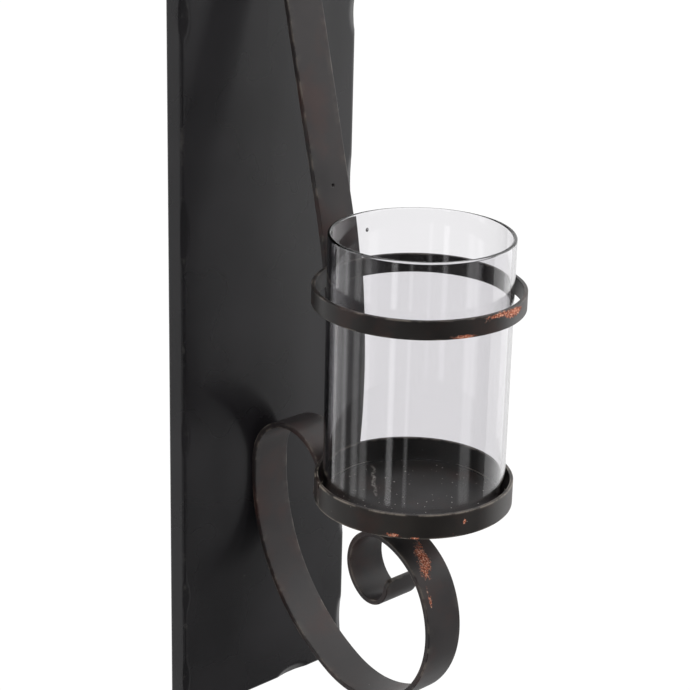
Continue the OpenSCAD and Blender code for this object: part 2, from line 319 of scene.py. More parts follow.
def ironPaint(name, look, dust=None):
    # Mild steel under a thin coat of satin enamel. The eye gets a near-black with a soft sheen, a fine
    # orange-peel skin, a red-brown cast in patches, and rust where the coat has been rubbed through.
    material, tree, shader = startMaterial(name)
    place = (addNode(tree, "TexCoord"), "Object")
    tone, clouds = paintTone(tree, look, place)
    worn = addWear(tree, look, place, tone)
    rusted, rubMask, grit = addRust(tree, place, worn)
    color = addSpecks(tree, look, place, rusted)
    if dust:
        color = addDust(tree, dust, place, grit, color)
    tree.links.new(color.outputs[2], shader.inputs["Base Color"])
    # sheen varies with the clouds; rubbed places are dull
    gloss = addNode(tree, "MapRange",
                    {"From Min": 0.3, "From Max": 0.7, "To Min": look["roughLow"],
                     "To Max": look["roughHigh"]}, {"Value": clouds})
    roughness = addNode(tree, "Mix", {"data_type": "FLOAT", 3: coatSpec["rubbedRough"]},
                        {0: rubMask, 2: gloss})
    tree.links.new(roughness.outputs[0], shader.inputs["Roughness"])
    tree.links.new(addSkin(tree, look, place, rubMask).outputs["Normal"], shader.inputs["Normal"])
    shader.inputs["IOR"].default_value = look["ior"]
    return material


def clearGlass():
    # Soda-lime tube, drawn and fire-polished: clear, very smooth, faintly grey in its thickness
    material, tree, shader = startMaterial("sodaLimeGlassFirePolished")
    shader.inputs["Base Color"].default_value = linearColor("#f0eff1")
    shader.inputs["Roughness"].default_value = 0.0
    shader.inputs["IOR"].default_value = 1.5
    shader.inputs["Transmission Weight"].default_value = 1.0
    return material


platePaint = ironPaint("satinEnamelOnSheetSteel", plateLook)
barPaint = ironPaint("satinEnamelOnFlatIronBar", barLook)
hoopPaint = ironPaint("satinEnamelOnRolledHoop", hoopLook)
panPaint = ironPaint("satinEnamelOnRolledPan", panLook)
panFloorPaint = ironPaint("dustyEnamelOnPanFloor", floorLook, dustSpec)
weldPaint = ironPaint("satinEnamelOverWeldBead", weldLook)
glassMaterial = clearGlass()
print("materials ready")


plateSpec = {
    "sheet": 1.5, "cornerRadius": 7.0, "bend": 2.2, "warp": 0.25, "warpLengths": (310, 160, 500),
    "sideSteps": 240, "topSteps": 56, "cornerSteps": 10, "bendSteps": 6,
    # rows of points over the face and over the inside of it, mm in from the plate's outline
    "faceRows": (2.8, 3.6, 4.6, 5.8, 7.2, 9, 11, 14, 18, 24, 31, 39, 48, 57, 62),
    "insideRows": (62, 48, 31, 14, 6, 4),
    # places along the edges where the fold is hammered flat: side, place along it, length,
    # how far it reaches onto the face and onto the flange, all mm
    "dents": [
        ("left", 20, 40, 6, 2.2), ("left", -110, 26, 6, 2.4), ("left", -232, 44, 4.5, 1.8),
        ("left", -354, 26, 4, 1.8), ("left", -457, 22, 4.5, 1.8), ("left", -512, 24, 4, 2),
        ("right", 28, 30, 5, 2.2), ("right", -60, 34, 5, 2), ("right", -121, 24, 5, 2.6),
        ("right", -221, 32, 4, 2), ("right", -330, 30, 5, 2), ("right", -447, 14, 4, 2),
        ("right", -513, 30, 5, 2.6),
        ("foot", -34, 26, 5, 2), ("foot", 23, 26, 6, 3), ("top", -20, 36, 5, 2), ("top", 36, 22, 5, 2.4),
    ],
    "dentWear": 0.25, "dentRimWear": 0.35,
}


def plateOutline(width, height, inset):
    # a rounded rectangle drawn in by inset, always with the same count of points on each side
    halfW, halfH = width / 2 - inset, height / 2 - inset
    r = min(max(plateSpec["cornerRadius"] * mm - inset, 0.02 * mm), halfW, halfH)
    topSteps, sideSteps = plateSpec["topSteps"], plateSpec["sideSteps"]
    parts = []
    for sideX, sideZ, start, steps in ((1, 1, 0, topSteps), (-1, 1, 90, sideSteps),
                                       (-1, -1, 180, topSteps), (1, -1, 270, sideSteps)):
        a = np.radians(start + np.linspace(0, 90, plateSpec["cornerSteps"] + 1))
        arc = np.stack([sideX * (halfW - r) + r * np.cos(a), sideZ * (halfH - r) + r * np.sin(a)], 1)
        shift = (-2 * sideX * (halfW - r), 0) if start in (0, 180) else (0, -2 * sideZ * (halfH - r))
        run = arc[-1] + np.array(shift) * np.linspace(0, 1, steps + 2)[1:-1, None]
        parts += [arc, run]
    return np.concatenate(parts)


def plateSkin(depth):
    # The folded sheet's cross-section, each point as (inset from the outline, depth out from the
    # wall, edge wear) in mm: up the flange, round the bend and in over the face; then back along
    # the inside to the rim
    sheet, bend = plateSpec["sheet"], plateSpec["bend"]
    outer = [(0.0, 0.15, 0.7), (0.0, 1.0, 0.1)] + [(0.0, d, 0.0) for d in np.linspace(2.5, depth - 3, 4)]
    outer += [(bend - bend * math.cos(a), depth - bend + bend * math.sin(a), math.sin(2 * a))
              for a in np.radians(np.linspace(0, 90, plateSpec["bendSteps"] + 1))]
    outer += [(inset, depth, 0.0) for inset in plateSpec["faceRows"]]
    inner = [(inset, depth - sheet, 0.0) for inset in plateSpec["insideRows"]]
    inner += [(sheet + 0.3, depth - sheet - 0.3, 0.0)]
    inner += [(sheet, d, 0.0) for d in (depth - 4, depth / 2, 1.0)]
    inner += [(sheet, 0.15, 0.5), (sheet - 0.2, 0.0, 0.7), (0.2, 0.0, 0.7)]
    return outer, inner


def hammerDents(x, out, z, isFront):
    # Whatever stands proud of a slanting plane is pressed back onto it. The plane comes out of the
    # metal along a half ellipse, so that each dent has a curved border.
    low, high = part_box("back_plate")
    edges = {"left": low.x, "right": high.x, "foot": low.z, "top": high.z}
    wear = np.zeros_like(x)
    for side, at, length, onFace, onFlange in plateSpec["dents"]:
        upright = side in ("left", "right")
        sign = -1 if side in ("left", "foot") else 1
        across, along = (x, z) if upright else (z, x)
        fromEdge = sign * (edges[side] - across)
        fade = np.sqrt(np.clip(1 - ((along - at * mm) / (length * mm / 2)) ** 2, 0, 1))
        a, b = onFace * mm * fade + 1e-6, onFlange * mm * fade + 1e-6
        proud = np.clip(1 - fromEdge / a - (high.y - low.y - out) / b, 0, None)
        proud = np.where((fade > 0) & isFront, proud, 0)
        scale = proud / (1 / a ** 2 + 1 / b ** 2)
        if upright:
            x = x - sign * scale / a
        else:
            z = z - sign * scale / a
        out = out - scale / b
        wear += np.where(proud > 0, plateSpec["dentWear"], 0)
        wear += np.where((proud > 0) & (proud < 0.2), plateSpec["dentRimWear"], 0)
    return x, out, z, wear


def makeBackPlate():
    low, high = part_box("back_plate")
    width, height, depth = high.x - low.x, high.z - low.z, high.y - low.y
    centreX, centreZ = (low.x + high.x) / 2, (low.z + high.z) / 2
    outer, inner = plateSkin(depth / mm)
    insets, outs, wear = np.array(outer + inner).T
    flat = np.array([plateOutline(width, height, inset * mm) for inset in insets])
    rows, count = flat.shape[:2]
    x, z = flat[..., 0] + centreX, flat[..., 1] + centreZ
    out = np.repeat(outs[:, None] * mm, count, 1)
    # the sheet is not dead flat: it bellies by a fraction of a millimetre, less towards its folds
    middle = np.clip((1 - np.abs(x - centreX) / (width / 2)) * 3, 0, 1)
    tall, wide, slant = (length * mm for length in plateSpec["warpLengths"])
    belly = 0.6 * wander(z / tall, 4, (1.0, 1.7, 3.1))
    belly = belly + 0.4 * wander(x / wide + z / slant, 9, (1.0, 1.9, 2.7))
    face = out > depth - 2 * plateSpec["sheet"] * mm
    out = out + np.where(face, plateSpec["warp"] * mm * middle * (belly - 1), 0)
    isFront = np.arange(rows)[:, None] < len(outer)
    x, out, z, dentWear = hammerDents(x, out, z, isFront)
    # faces join all the rows but the face's middle to the inside's, where a flat lid closes each
    # skin, and the last row joins the first round the rim
    split, ring, last = len(outer), np.arange(count), (rows - 1) * count
    faces = [quad for k, quad in enumerate(gridFaces(rows, count)) if k // count != split - 1]
    faces += np.stack([last + ring, last + (ring + 1) % count, (ring + 1) % count, ring], 1).tolist()
    faces += [(ring + (split - 1) * count).tolist(), (ring[::-1] + split * count).tolist()]
    makePiece("backPlate", "back_plate", platePaint, np.stack([x, -out, z], -1), faces,
              np.clip(wear[:, None] + dentWear, 0, 1))


sectionSpec = {"inset": 0.35, "arcSteps": 4, "nearWear": 0.25}


def roundedSection(width, height, radius, flatSteps, finer=()):
    # A closed loop round a rectangle with round corners. Returns u, v and how near a corner each
    # point is: 1 on the round, 0 on the flats. Points just inside each round keep the flats flat
    # when they are shaded smooth, and finer adds places to the wide flats.
    halfW, halfH = width / 2, height / 2
    u, v, edge = [], [], []
    corners = [(1, 1, 0), (-1, 1, 90), (-1, -1, 180), (1, -1, 270)]
    for k, (sideU, sideV, start) in enumerate(corners):
        angle = np.radians(start + np.linspace(0, 90, sectionSpec["arcSteps"] + 1))
        u.append(sideU * (halfW - radius) + radius * np.cos(angle))
        v.append(sideV * (halfH - radius) + radius * np.sin(angle))
        nextU, nextV, _ = corners[(k + 1) % 4]
        wide = sideV == nextV
        a = np.array([u[-1][-1], v[-1][-1]])
        b = np.array([nextU * (halfW - radius) + radius * np.cos(angle[-1]),
                      nextV * (halfH - radius) + radius * np.sin(angle[-1])])
        span = np.linalg.norm(b - a)
        near = min(sectionSpec["inset"] * mm / span, 0.3)
        middle = set(np.linspace(0, 1, flatSteps[0 if wide else 1] + 1)[1:-1])
        if wide:
            middle |= {0.5 + place / span for place in finer}
        shares = np.array([near, *sorted(middle), 1 - near])
        run = a + (b - a) * shares[:, None]
        u.append(run[:, 0])
        v.append(run[:, 1])
        nearWear = sectionSpec["nearWear"]
        edge += [1.0] * len(angle) + [nearWear] + [0.0] * len(middle) + [nearWear]
    return np.concatenate(u), np.concatenate(v), np.array(edge)


barSpec = {
    "width": 25.4, "thick": 3.2, "edgeRound": 0.5, "cornerRound": 2.2,
    "bowRadius": 400.0, "bowUp": 42.0, "landLength": 46.0, "landBend": 14.0, "tailLean": 8.6,
    "lapDrop": 0.2, "lapLength": 16.0, "archStop": 31.0, "archTight": 8.0, "scrollLand": 8.0,
    # the scroll's turns: middle radius in mm, degrees
    "turns": [(116.0, 66.0), (57.0, 142.0), (43.0, 57.0), (22.0, 154.0), (13.0, 114.0)],
    "tipLand": 6.0, "tipRound": 4.5,
    # rows of points along a bar: close together at its ends, then a step apart
    "endRows": (0, 0.08, 0.25, 0.5, 0.8, 1.2, 1.7, 2.3, 3.0, 3.8, 4.6), "rowStart": 5.5, "rowStep": 1.1,
    "flatSteps": (6, 2), "endWear": 0.6,
    # the rolled edges waver: by how much, and over what lengths on each side
    "waver": 0.12, "waverLengths": (110, 130),
    # rubbed patches on the scroll: distance back from the curl's tip, place across, length, width,
    # strength; mm
    "rubs": [(108, 2.5, 10, 4, 0.78), (116, -0.5, 16, 8, 0.8), (123, -4.5, 12, 8, 0.68),
             (138, -7, 16, 3.6, 0.72)],
    # a small pit in the upper bar's face: height below the top of the bar, radius, depth
    "pits": [(239.0, 1.1, 0.9)], "pitRows": 0.25,
}


def bentLine(start, heading, runs):
    # Points [out from the wall, height] and headings every 0.2 mm. A run is a length straight on, or
    # a radius and a turn round a centre that lies square to the heading.
    at, head = np.array(start, float), math.radians(heading)
    points, heads = [at[None]], [np.array([head])]
    for run in runs:
        turn = math.radians(run[1]) if len(run) > 1 else 0.0
        length = run[0] * abs(turn) if turn else run[0]
        f = np.linspace(0, 1, max(2, math.ceil(length / (0.2 * mm))) + 1)[1:]
        if turn:
            side = math.copysign(1, turn)
            centre = at + side * run[0] * np.array([-math.sin(head), math.cos(head)])
            h = head + turn * f
            line = centre + side * run[0] * np.stack([np.sin(h), -np.cos(h)], 1)
        else:
            h = np.full(len(f), head)
            line = at + np.outer(f * length, [math.cos(head), math.sin(head)])
        points.append(line)
        heads.append(h)
        at, head = line[-1], h[-1]
    return np.concatenate(points), np.concatenate(heads)


def barGeometry():
    # The bars' middle lines, placed from the frame's boxes. The upper bar runs down its flat, out at
    # a slant that meets the bow's circle, round the bow and down its tail. The scroll starts at the
    # lap on that tail, and its arch is as wide as takes it back to the plate.
    s = {k: v * mm for k, v in barSpec.items() if isinstance(v, float)}
    lean, stop = math.radians(barSpec["tailLean"]), math.radians(barSpec["archStop"])
    plateFront = -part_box("back_plate")[0].y
    mid = plateFront + s["thick"] / 2
    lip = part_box("pan_wall")[1].z
    bowCentre = np.array([-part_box("upper_bar")[0].y - s["bowRadius"], lip + s["bowUp"]])
    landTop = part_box("upper_bar")[1].z
    middle = s["bowRadius"] - s["thick"] / 2
    bend = np.array([mid, landTop - s["landLength"]])
    reach = np.linalg.norm(bend - bowCentre)
    topLean = math.atan2(*(bend - bowCentre)[::-1]) - math.acos(middle / reach)
    trim = s["landBend"] * math.tan(topLean / 2)
    straight = math.sqrt(reach ** 2 - middle ** 2) - trim
    tailTop = bowCentre[1] - s["bowRadius"] * math.sin(lean)
    normal = np.array([math.cos(lean), -math.sin(lean)])
    faceLine = np.dot([bowCentre[0] + s["bowRadius"] * math.cos(lean), tailTop], normal)
    lapLine = faceLine - 1.5 * s["thick"]
    lapTop = tailTop - s["lapDrop"]
    lapFoot = lapTop - s["lapLength"] * math.cos(lean)
    tail = (tailTop - lapFoot) / math.cos(lean)
    lift = s["archTight"] * (1 - math.cos(stop + lean))
    fall = s["archTight"] * (math.sin(stop) + math.sin(lean))
    archR = (lapLine - lift - np.dot([mid, lapTop + fall], normal)) / ((1 + math.cos(stop)) * normal[0])
    upper = bentLine([mid, landTop], -90, [
        (s["landLength"] - trim,), (s["landBend"], math.degrees(topLean)), (straight,),
        (middle, -math.degrees(topLean + lean)), (tail,)])
    footOut = (lapLine + math.sin(lean) * lapFoot) / math.cos(lean)
    scroll = bentLine([footOut, lapFoot], 90 - barSpec["tailLean"], [
        (s["lapLength"],), (s["archTight"], barSpec["archStop"] + barSpec["tailLean"]),
        (archR, 180 - barSpec["archStop"]), (s["scrollLand"],),
        *[(r * mm, turn) for r, turn in barSpec["turns"]], (s["tipLand"],)])
    lapMid = (lapTop + lapFoot) / 2
    return {"upper": upper, "scroll": scroll, "bowCentre": bowCentre, "plateFront": plateFront, "lean": lean,
            "archRadius": archR, "archZ": lapTop + fall - archR * math.sin(stop),
            "lap": ((faceLine + math.sin(lean) * lapMid) / math.cos(lean), lapMid)}


def roundedLoss(radius, toEnd):
    # how much a quarter circle of that radius takes off a side, this far from the end
    return radius - np.sqrt(np.clip(radius ** 2 - np.clip(radius - toEnd, 0, None) ** 2, 0, None))


def makeBar(name, node, line, seed, rubs=(), pits=(), tipRound=barSpec["cornerRound"]):
    # a flat bar: a round-cornered section carried along its bent middle line
    points, heads = line
    s = np.concatenate([[0], np.cumsum(np.linalg.norm(np.diff(points, axis=0), axis=1))])
    total = s[-1]
    ends = np.array(barSpec["endRows"]) * mm
    rowStart, rowStep = barSpec["rowStart"] * mm, barSpec["rowStep"] * mm
    at = np.concatenate([ends, np.arange(rowStart, total - rowStart, rowStep), total - ends[::-1]])
    fine = np.arange(-6, 7) * barSpec["pitRows"] * mm
    pitAt = [np.interp(below * mm, points[0, 1] - points[:, 1], s) for below, _, _ in pits]
    at = np.unique(np.concatenate([at] + [p + fine for p in pitAt]))
    out, height = (np.interp(at, s, points[:, k]) for k in (0, 1))
    head = np.interp(at, s, heads)
    arris = barSpec["edgeRound"] * mm
    u, v, edge = roundedSection(barSpec["width"] * mm, barSpec["thick"] * mm, arris, barSpec["flatSteps"],
                                finer=fine if pits else ())
    halfW, halfT = barSpec["width"] * mm / 2, barSpec["thick"] * mm / 2
    # each end is cut square with its corners and its arris rounded off
    toEnd = np.minimum(at, total - at)
    narrow = roundedLoss(np.where(at > total / 2, tipRound, barSpec["cornerRound"]) * mm, toEnd)
    thin = roundedLoss(arris, toEnd)
    # the rolled edges waver a little, each on its own
    lengths = barSpec["waverLengths"]
    waver = [wander(at / (length * mm), seed + k)[:, None] for k, length in enumerate(lengths)]
    waver = np.where(u[None] > 0, *waver)
    across = u[None] * (halfW - narrow[:, None]) / halfW
    across = across - np.sign(u) * (np.abs(u) / halfW) ** 6 * barSpec["waver"] * mm * (1 + waver)
    through = v[None] * (halfT - thin[:, None]) / halfT
    for place, (_, radius, depth) in zip(pitAt, pits):
        far = np.hypot(across, (at - place)[:, None]) / (radius * mm)
        through = through - depth * mm * np.clip(1 - far ** 2, 0, 1) ** 0.5 * (through > 0.8 * halfT)
    y = -(out[:, None] - through * np.sin(head)[:, None])
    z = height[:, None] + through * np.cos(head)[:, None]
    wear = np.clip(edge[None] + np.clip(1 - toEnd / (barSpec["endWear"] * mm), 0, 1)[:, None], 0, 1)
    rub = np.zeros_like(across)
    for back, place, length, width, strength in rubs:
        spot = ((total - at - back * mm) / (length * mm / 2))[:, None] ** 2
        spot = spot + ((across - place * mm) / (width * mm / 2)) ** 2
        rub = np.maximum(rub, strength * np.exp(-spot / 2) * (through < 0))
    makePiece(name, node, barPaint, np.stack([across, y, z], -1),
              closedTube(len(at), len(u)), wear, rub)


# rubbed places on the hoop and the pan: angle, height up the band (0 to 1), half angle, half
# height, strength
hoopSpec = {"thick": 2.2, "edgeRound": 0.5,
            "rubs": [(284, 0.7, 9, 0.24, 0.78), (272, 0.86, 13, 0.14, 0.7), (262, 0.7, 4, 0.1, 0.5),
                     (248, 0.1, 8, 0.13, 0.7)]}
panSpec = {"thick": 2.0, "edgeRound": 0.4, "seam": 154.0, "seamWidth": 1.4, "seamDepth": 0.25,
           "seamDrop": 3.5, "gather": 0.54,
           "rubs": [(255, 0.58, 1.3, 0.12, 0.7), (214, 0.13, 6, 0.09, 0.66), (226, 0.05, 4, 0.08, 0.62),
                    (248, 0.14, 0.8, 0.06, 0.55)]}
bandSpec = {"steps": 540, "flatSteps": (2, 16), "outOfRound": 0.10, "rimWaver": 0.12}


def turnFrom(angle, degrees):
    # the signed turn from a place on the band, between half a turn back and half a turn on
    return (angle - math.radians(degrees) + math.pi) % (2 * math.pi) - math.pi


def cutSeam(angle, ring, up, wear, v, u, radius, tall, spec):
    # the butt joint: a shallow groove all the way down, a notch in the lip, and more wear about it
    away = turnFrom(angle, spec["seam"])
    near = np.clip(1 - np.abs(away * radius) / (spec["seamWidth"] * mm), 0, 1)[:, None]
    ring = ring - near * spec["seamDepth"] * mm * np.sign(u)
    lip = tall / 2 - spec["seamDrop"] * mm
    notch = np.clip(near * 2.2, 0, 1) * (v > lip)
    up = up - notch * np.clip(v - lip, 0, None)
    wear = np.clip(wear + near * 0.5, 0, 1)
    return ring, up, np.clip(wear * (1 + 1.5 * np.exp(-(away * 2.2) ** 2)[:, None]), 0, 2)


def makeBand(name, node, spec, seed, material):
    # a flat strip rolled into a ring: a round-cornered section turned about an upright axis
    low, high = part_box(node)
    radius, tall = (high.x - low.x) / 2, high.z - low.z
    thick = spec["thick"] * mm
    u, v, edge = roundedSection(thick, tall, spec["edgeRound"] * mm, bandSpec["flatSteps"])
    steps = bandSpec["steps"]
    angle = np.arange(steps) * 2 * math.pi / steps
    if "seam" in spec:
        # more points close to the seam, so that it can be a narrow groove
        angle = angle + spec["gather"] * np.sin(angle - math.radians(spec["seam"]) + math.pi)
    share = angle / (2 * math.pi)
    uneven = wander(share, seed, (2, 3, 5))[:, None] - 1
    ring = radius - thick / 2 + u[None] + bandSpec["outOfRound"] * mm * uneven
    # the two rims waver up and down, and nothing in the band's middle does
    waver = wander(share, seed + 3, (3, 5, 7))[:, None] - np.sign(v)
    up = low.z + tall / 2 + v[None] + bandSpec["rimWaver"] * mm * waver * (np.abs(v) / (tall / 2)) ** 4
    wear = np.repeat(edge[None], steps, 0)
    if "seam" in spec:
        ring, up, wear = cutSeam(angle, ring, up, wear, v, u, radius, tall, spec)
    rub = np.zeros_like(ring)
    for at, level, halfAngle, halfLevel, strength in spec["rubs"]:
        spot = (turnFrom(angle, at) / math.radians(halfAngle))[:, None] ** 2
        spot = spot + (((up - low.z) / tall - level) / halfLevel) ** 2
        rub = np.maximum(rub, strength * np.exp(-spot / 2) * (u > -thick / 4))
    x = (low.x + high.x) / 2 + ring * np.cos(angle)[:, None]
    y = (low.y + high.y) / 2 + ring * np.sin(angle)[:, None]
    makePiece(name, node, material, np.stack([x, y, up], -1),
              gridFaces(steps, len(u), wrapRows=True), wear, rub)


def turnProfile(centre, profile, steps, swell=0.0):
    # a profile of [radius, height] turned about an upright axis, with the radius swollen by angle; a
    # profile that starts and ends near the axis is closed with small flat discs
    profile = np.asarray(profile, float)
    angle = np.arange(steps) * 2 * math.pi / steps
    r = profile[None, :, 0] + np.broadcast_to(swell, steps)[:, None]
    points = np.stack([centre[0] + r * np.cos(angle)[:, None], centre[1] + r * np.sin(angle)[:, None],
                       profile[None, :, 1] + 0 * r], -1)
    hollow = profile[0, 0] > 1 * mm
    faces = gridFaces(steps, len(profile), wrapRows=True, wrapColumns=hollow)
    if not hollow:
        ring = np.arange(steps) * len(profile)
        faces += [ring.tolist(), (ring + len(profile) - 1)[::-1].tolist()]
    return points, faces


panFloorSpec = {
    "arris": 0.3, "dish": 0.25, "dishRadius": 42, "steps": 240,
    "topRows": (0.6, 6, 12, 18, 24, 30, 36, 42, 46, 50), "underRows": (46, 30, 14, 0.6),
}


def makePanFloor():
    # a disc dished by a quarter of a millimetre: flat underneath, its arris a quarter circle
    low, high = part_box("pan_floor")
    centre, radius = ((low.x + high.x) / 2, (low.y + high.y) / 2), (high.x - low.x) / 2
    arris, dishR = panFloorSpec["arris"] * mm, panFloorSpec["dishRadius"]
    dish = [(r * mm, high.z - panFloorSpec["dish"] * mm * max(0, 1 - (r / dishR) ** 2))
            for r in panFloorSpec["topRows"]]
    dish.append((radius - 1.0 * mm, high.z))
    quarter = np.radians(np.linspace(0, 90, 5))
    upper = [(radius - arris + arris * math.cos(a), high.z - arris + arris * math.sin(a))
             for a in quarter[::-1]]
    lower = [(radius - arris + arris * math.cos(a), low.z + arris - arris * math.sin(a)) for a in quarter]
    under = [(r * mm, low.z) for r in panFloorSpec["underRows"]]
    wear = np.array([0] * len(dish) + [1] * len(upper) + [0.5] * len(lower) + [0] * len(under))
    points, faces = turnProfile(centre, dish + upper + lower + under, panFloorSpec["steps"])
    makePiece("panFloor", "pan_floor", panFloorPaint, points, faces, wear[None])


glassSpec = {
    "thick": 2.2, "wave": 0.05, "steps": 360, "rimSteps": 20,
    # rows of points down the wall from each rim; the close ones keep it optically flat
    "wallRows": (0.1, 0.4, 1.2, 4, 20, 50),
    # a seed, the bubble left in drawn glass: angle, depth below the rim, radius, half height; mm
    "seed": (82.9, 10.7, 0.95, 1.2),
}


def glassSeed(middle, high, centre):
    # an egg-shaped hollow in the middle of the wall: its profile runs down from its top, so that its
    # surface faces into the hollow
    angle, below, radius, tall = glassSpec["seed"]
    turn = math.radians(angle)
    down = np.radians(np.linspace(88, -88, 11))
    profile = np.stack([radius * np.cos(down), tall * np.sin(down)], 1) * mm + (0, high.z - below * mm)
    place = (centre[0] + middle * math.cos(turn), centre[1] + middle * math.sin(turn))
    return turnProfile(place, profile, 16)


def makeGlass():
    # a tube with round rims: half circles top and bottom joined by straight walls, with its wall a
    # little uneven round its girth, as drawn glass is, and one seed
    low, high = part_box("glass_cylinder")
    centre = ((low.x + high.x) / 2, (low.y + high.y) / 2)
    rim = glassSpec["thick"] * mm / 2
    middle = (high.x - low.x) / 2 - rim
    arc = np.radians(np.linspace(0, 180, glassSpec["rimSteps"] + 1))
    top = [(middle + rim * math.cos(a), high.z - rim + rim * math.sin(a)) for a in arc]
    foot = [(middle - rim * math.cos(a), low.z + rim - rim * math.sin(a)) for a in arc]
    rows = np.array(glassSpec["wallRows"]) * mm
    levels = high.z - rim - np.concatenate([rows, high.z - low.z - 2 * rim - rows[::-1]])
    profile = top + [(middle - rim, z) for z in levels] + foot + [(middle + rim, z) for z in levels[::-1]]
    steps = glassSpec["steps"]
    uneven = glassSpec["wave"] * mm * (wander(np.arange(steps) / steps, 21, (2, 5, 9)) - 1)
    points, faces = turnProfile(centre, profile, steps, uneven)
    points = points.reshape(-1, 3)
    seedPoints, seedFaces = glassSeed(middle, high, centre)
    faces += [[k + len(points) for k in face] for face in seedFaces]
    points = np.concatenate([points, seedPoints.reshape(-1, 3)])
    makePiece("glassCylinder", "glass_cylinder", glassMaterial, points, faces, 0.0,
              body="glass")


# rim is the head's radius where it lies on the bar, as a share of its widest
rivetSpec = {"shank": 2.5, "head": 4.6, "headHeight": 2.4, "crownPower": 1.15, "rim": 0.93, "facet": 0.12,
             "uneven": 0.02, "steps": 40, "rimWear": 0.8, "wear": 0.3}


def rivetProfile(grip):
    # from the head's crown out to its rim, down the shank and over the closed head at the back
    headR, headH, shank = (rivetSpec[k] * mm for k in ("head", "headHeight", "shank"))
    a = np.radians(np.linspace(88, 0, 10))
    crown = np.stack([headR * np.cos(a), headH * np.sin(a) ** rivetSpec["crownPower"]], 1)
    tail = (crown * (1, -1) - (0, grip))[::-1]
    rim = headR * rivetSpec["rim"]
    return np.concatenate([crown, [[rim, 0], [shank, 0], [shank, -grip], [rim, -grip]], tail])


def makeRivets(name, node, places):
    # each place is the middle of a rivet's head on the bar's face, its lean down from level, its grip
    points, faces, edges = [], [], []
    steps = rivetSpec["steps"]
    angle = np.arange(steps) * 2 * math.pi / steps
    share = np.arange(steps) / steps
    for k, (centre, lean, grip) in enumerate(places):
        profile = rivetProfile(grip)
        r = profile[None, :, 0] * (1 + rivetSpec["uneven"] * wander(share, 40 + k, (2, 3, 5))[:, None])
        facets = rivetSpec["facet"] * mm * (wander(share, 50 + k, (1, 2, 4))[:, None] - 1)
        along = profile[None, :, 1] + facets * (profile[None, :, 1] > 0.4 * mm)
        x, up = r * np.cos(angle)[:, None], r * np.sin(angle)[:, None]
        y = centre[1] - along * math.cos(lean) - up * math.sin(lean)
        z = centre[2] - along * math.sin(lean) + up * math.cos(lean)
        start = sum(len(p) for p in points)
        points.append(np.stack([centre[0] + x, y, z], -1).reshape(-1, 3))
        ring = np.arange(steps) * len(profile) + start
        quads = np.array(gridFaces(steps, len(profile), wrapRows=True, wrapColumns=False)) + start
        faces += quads.tolist() + [ring.tolist(), (ring + len(profile) - 1)[::-1].tolist()]
        isRim = profile[:, 0] > rivetSpec["head"] * mm * 0.8
        edges.append(np.tile(np.where(isRim, rivetSpec["rimWear"], rivetSpec["wear"]), steps))
    makePiece(name, node, barPaint, np.concatenate(points), faces, np.concatenate(edges))


def makeAllRivets(geometry):
    thick = barSpec["thick"] * mm
    low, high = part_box("bar_rivets")
    headR = rivetSpec["head"] * mm
    front = -geometry["plateFront"] - thick
    grip = thick + plateSpec["sheet"] * mm
    places = [((0, front, z), 0.0, grip) for z in (low.z + headR, high.z - headR)]
    makeRivets("barRivets", "bar_rivets", places)
    lapOut, lapMid = geometry["lap"]
    makeRivets("lapRivet", "lap_rivet", [((0, -lapOut, lapMid), geometry["lean"], 2 * thick)])


weldSpec = {"around": 72, "rows": 13, "square": 0.6, "swell": 0.10, "ripple": 0.035, "rippleTwist": (1.3, 3),
            "sink": 0.4, "wear": 0.15, "filletRows": 60, "filletAround": 20, "filletFoot": 2.5,
            "filletSink": 0.2, "filletRipple": 0.2, "filletWave": 4, "filletWear": 0.1}


def squarish(c):
    # a cosine or sine pulled towards a square's: its sign times its size to a power below 1
    return np.sign(c) * np.abs(c) ** weldSpec["square"]


def makeBandWeld(name, node, band, bowCentre):
    # A bead that fills the gap between the bowed bar and a round band: ovals lofted from just
    # inside the bar to just inside the band, swollen and rippled between
    low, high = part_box(node)
    bandLow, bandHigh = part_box(band)
    radius = (bandHigh.x - bandLow.x) / 2
    axisOut = -(bandLow.y + bandHigh.y) / 2
    around, rows, sink = weldSpec["around"], weldSpec["rows"], weldSpec["sink"] * mm
    t = np.arange(around) * 2 * math.pi / around
    across = np.linspace(0, 1, rows)[:, None]
    middle = np.sin(math.pi * across)
    turns, twist = weldSpec["rippleTwist"]
    ripple = weldSpec["ripple"] * wander(t * turns + twist * across, 61, (1, 3, 6))
    swell = 1 + (weldSpec["swell"] + ripple) * middle
    x = (high.x - low.x) / 2 * squarish(np.cos(t)) * swell
    z = (low.z + high.z) / 2 + (high.z - low.z) / 2 * squarish(np.sin(t)) * swell
    bowRadius = barSpec["bowRadius"] * mm
    fromBar = bowCentre[0] + np.sqrt(bowRadius ** 2 - (z - bowCentre[1]) ** 2) - sink
    toBand = axisOut - np.sqrt(radius ** 2 - x ** 2) + sink
    out = fromBar + (toBand - fromBar) * across
    makePiece(name, node, weldPaint, np.stack([x, -out, z], -1), closedTube(rows, around),
              weldSpec["wear"])


